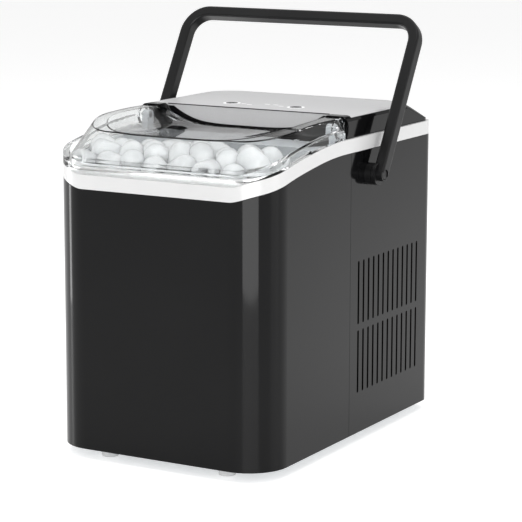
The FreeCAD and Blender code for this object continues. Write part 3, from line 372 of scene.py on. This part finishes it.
def heap_places():
    """Highest points for the bullets, layer by layer from the top down."""
    places = []
    front = basket_low.y + FRONT_INSET
    for layer in range(ICE_LAYERS):
        half_width = basket_high.x - (SPREAD_INSET if layer < ICE_ABOVE_RIM else SIDE_INSET)
        columns = int(2 * half_width / ICE_PITCH)
        for row, top in enumerate(ICE_TOPS):
            shift = 0.5 * ((layer + row) % 2)
            for column in range(columns + 1):
                x = -half_width + (column + shift) * ICE_PITCH
                y = front + row * ICE_ROW + ROW_STAGGER * (layer % 2)
                edge = abs(x) / half_width
                if edge <= 1.0:
                    places.append(Vector((x, y, top - layer * ICE_LAYER - EDGE_DROP * edge ** 3)))
    return places


def ice_heap():
    """All bullets of the heap as one piece."""
    heap = bmesh.new()
    for place in heap_places():
        turn = rng.uniform(0, math.tau)
        tilt = math.radians(rng.uniform(62, 118) if rng.random() < LYING_SHARE else rng.uniform(-28, 28))
        half_height = ICE_RADIUS + (ICE_LENGTH / 2 - ICE_RADIUS) * abs(math.cos(tilt))
        jitter = Vector((rng.uniform(-SIDE_JITTER, SIDE_JITTER), rng.uniform(-0.0015, 0.0015),
                         rng.uniform(-0.004, 0.001) - half_height))
        tumble = Matrix.Rotation(turn, 4, "Z") @ Matrix.Rotation(tilt, 4, "X")
        before = len(heap.verts)
        heap.from_mesh(bullet)
        heap.verts.ensure_lookup_table()
        bmesh.ops.transform(heap, matrix=Matrix.Translation(place + jitter) @ tumble,
                            verts=heap.verts[before:])
    mesh = bpy.data.meshes.new("ice_heap")
    heap.to_mesh(mesh)
    heap.free()
    for face in mesh.polygons:
        face.use_smooth = True
    return mesh


def cloudy_ice():
    """Fast-frozen ice: clear skin, milky inside from trapped air."""
    material, tree, shader, place = new_finish("cloudy_ice", IOR=1.31, Transmission_Weight=0.12,
                                               Subsurface_Weight=0.35, Subsurface_Scale=0.008,
                                               Subsurface_Radius=(1.0, 1.0, 1.0))
    air = add_node(tree, "ShaderNodeTexNoise", {"Scale": per_mm(16), "Detail": 5.0}, {"Vector": place})
    tone = add_node(tree, "ShaderNodeValToRGB", links={"Fac": air.outputs["Fac"]})
    tone.color_ramp.elements[0].position = 0.35
    tone.color_ramp.elements[0].color = linear("#dcdedf")
    tone.color_ramp.elements[1].position = 0.65
    tone.color_ramp.elements[1].color = linear("#e9eaeb")
    tree.links.new(tone.outputs["Color"], shader.inputs["Base Color"])
    melt = add_node(tree, "ShaderNodeMapRange", {"To Min": 0.08, "To Max": 0.30},
                    {"Value": air.outputs["Fac"]})
    tree.links.new(melt.outputs["Result"], shader.inputs["Roughness"])
    bump = add_node(tree, "ShaderNodeBump", {"Strength": 0.35, "Distance": 0.0006},
                    {"Height": air.outputs["Fac"]})
    tree.links.new(bump.outputs["Normal"], shader.inputs["Normal"])
    return material


ice = bpy.data.objects.new("ice_heap", ice_heap())
bpy.context.scene.collection.objects.link(ice)
ice.data.materials.append(cloudy_ice())
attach(ice, "basket")
print("ice faces:", len(ice.data.polygons))

# %% [markdown]
# ## Printed rings and the painted shade at the folded edge
# A white ring is printed round each key, with small dashes between them. The dark hairline of shade at the
# plate's front fold is painted in with a slim black rod laid along the crease. Print could be painted in the
# material, but thin pieces stay crisp at any distance, so the rings are spun from a flat section and the
# painted shade is a fine rod.

# %% Rings, dashes and painted shade along the crease
PRINT_HEIGHT = 0.00012
RING_INNER = 0.0060
RING_OUTER = 0.0083
CREASE_AHEAD = 0.030    # the fold, ahead of the keys
# a thin black rod that paints the dark hairline of shade along the fold
SHADE_ROD_RADIUS = 0.00045
SHADE_ROD_LENGTH = 0.170
DASH_LENGTH = 0.0052
DASH_WIDTH = 0.0016
DASH_CORNER = 0.0007
DASHES = ((-0.021, 0.0), (-0.013, -0.004), (0.0, 0.007), (0.009, 0.007), (0.0185, 0.0))  # across, behind keys


def piece_from(shape, name, finish, body):
    """Turn a bmesh into a piece that wears a finish and rides on a body."""
    bmesh.ops.recalc_face_normals(shape, faces=shape.faces)
    mesh = bpy.data.meshes.new(name)
    shape.to_mesh(mesh)
    shape.free()
    made = bpy.data.objects.new(name, mesh)
    bpy.context.scene.collection.objects.link(made)
    mesh.materials.append(finish)
    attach(made, body)
    return made


def printed_ring(name, centre):
    """A flat ring, spun from its rectangular section."""
    shape = bmesh.new()
    section = [(RING_INNER, 0.0), (RING_OUTER, 0.0), (RING_OUTER, PRINT_HEIGHT), (RING_INNER, PRINT_HEIGHT)]
    points = [shape.verts.new((radius, 0.0, z)) for radius, z in section]
    edges = [shape.edges.new((points[i], points[(i + 1) % 4])) for i in range(4)]
    bmesh.ops.spin(shape, geom=points + edges, axis=(0, 0, 1), cent=(0, 0, 0), angle=math.tau, steps=48,
                   use_merge=True)
    bmesh.ops.remove_doubles(shape, verts=shape.verts, dist=0.000001)
    bmesh.ops.translate(shape, verts=shape.verts, vec=centre)
    return piece_from(shape, name, white_print_ink, "cabinet")


white_print_ink = moulded_plastic("white_print_ink", "#f4f4f4", "#ffffff", 0.45, 0.8, 0.00001)
plate_low, plate_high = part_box("control_plate")
key_centres = {}
for key in ("power_button", "size_button"):
    low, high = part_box(key)
    key_centres[key] = Vector(((low.x + high.x) / 2, (low.y + high.y) / 2, plate_high.z))
    printed_ring(key.replace("button", "ring"), key_centres[key])

dashes = bmesh.new()
for x, back in DASHES:
    place = Vector((x, key_centres["power_button"].y + back, plate_high.z + PRINT_HEIGHT / 2))
    slab = Matrix.Translation(place) @ Matrix.Diagonal((DASH_LENGTH, DASH_WIDTH, PRINT_HEIGHT, 1.0))
    bmesh.ops.create_cube(dashes, size=1.0, matrix=slab)
uprights = [e for e in dashes.edges if abs(e.verts[0].co.z - e.verts[1].co.z) > PRINT_HEIGHT / 2]
bmesh.ops.bevel(dashes, geom=uprights, offset=DASH_CORNER, segments=3, profile=0.5, material=-1,
                affect="EDGES")
piece_from(dashes, "printed_dashes", white_print_ink, "cabinet")

# Painted shade: a slim black rod laid on the fold stands for the dark line of shade there; it is no real seal.
shade_rod = bmesh.new()
crease = Vector((0.0, key_centres["power_button"].y - CREASE_AHEAD, plate_high.z - 0.0002))
lay = Matrix.Translation(crease) @ Matrix.Rotation(math.pi / 2, 4, "Y")
bmesh.ops.create_cone(shade_rod, cap_ends=True, segments=12, radius1=SHADE_ROD_RADIUS, radius2=SHADE_ROD_RADIUS,
                      depth=SHADE_ROD_LENGTH, matrix=lay)
piece_from(shade_rod, "crease_shade_rod", black_rubber, "cabinet")
print("printed marks at", [round(v, 4) for v in key_centres["power_button"]])

# %% [markdown]
# ## Studio
# A white floor, one broad softbox overhead, one in front and two at the sides. Gloss black shows nothing but
# what it mirrors, so two upright strips near the machine draw the pale streaks down its corners. The strips are
# hidden from the camera and from diffuse light, so what they add is mostly a reflection.

# %% Floor
FLOOR_SIZE = 12.0
FLOOR_GLOW = 0.40       # keeps the paper white where the softboxes fall off

sweep = bmesh.new()
bmesh.ops.create_grid(sweep, x_segments=1, y_segments=1, size=FLOOR_SIZE)
floor_mesh = bpy.data.meshes.new("floor")
sweep.to_mesh(floor_mesh)
sweep.free()
floor = bpy.data.objects.new("floor", floor_mesh)
bpy.context.scene.collection.objects.link(floor)
paper = new_finish("studio_paper", Roughness=0.35, Base_Color=linear("#fbfbfb"),
                   Emission_Color=linear("#ffffff"), Emission_Strength=FLOOR_GLOW)[0]
floor.data.materials.append(paper)

# %% Lights
def softbox(name, place, look_at, width, height, power):
    """A rectangular area light aimed at a point."""
    light = bpy.data.lights.new(name, "AREA")
    light.shape = "RECTANGLE"
    light.size = width
    light.size_y = height
    light.energy = power
    lamp = bpy.data.objects.new(name, light)
    bpy.context.scene.collection.objects.link(lamp)
    lamp.location = place
    lamp.rotation_euler = (Vector(look_at) - Vector(place)).to_track_quat("-Z", "Y").to_euler()
    return lamp


MIDDLE = (0.0, 0.0, 0.16)
softbox("top_softbox", (0.0, 0.2, 1.9), MIDDLE, 2.4, 2.4, 24)
softbox("front_softbox", (0.7, -2.6, 1.7), MIDDLE, 1.8, 1.4, 27)
softbox("left_softbox", (-2.0, -0.5, 0.9), MIDDLE, 0.7, 2.2, 12)
softbox("right_softbox", (2.2, 0.3, 0.8), MIDDLE, 1.0, 2.0, 12)

STRIP_HEIGHT = 0.56
STRIPS = (
    ("front_strip", (0.493, -0.779, 0.28), (0.08, -0.15, 0.22), 0.60, 5.6),
    ("left_strip", (-0.72, -0.26, 0.28), (-0.1, -0.13, 0.2), 0.10, 1.2),
)
for name, place, look_at, width, power in STRIPS:
    strip = softbox(name, place, look_at, width, STRIP_HEIGHT, power)
    strip.visible_camera = False
    strip.visible_diffuse = False

WORLD_STRENGTH = 0.55
world = bpy.data.worlds.new("studio")
bpy.context.scene.world = world
world.use_nodes = True
background = world.node_tree.nodes["Background"]
background.inputs["Color"].default_value = (1, 1, 1, 1)
background.inputs["Strength"].default_value = WORLD_STRENGTH
print("studio lit")
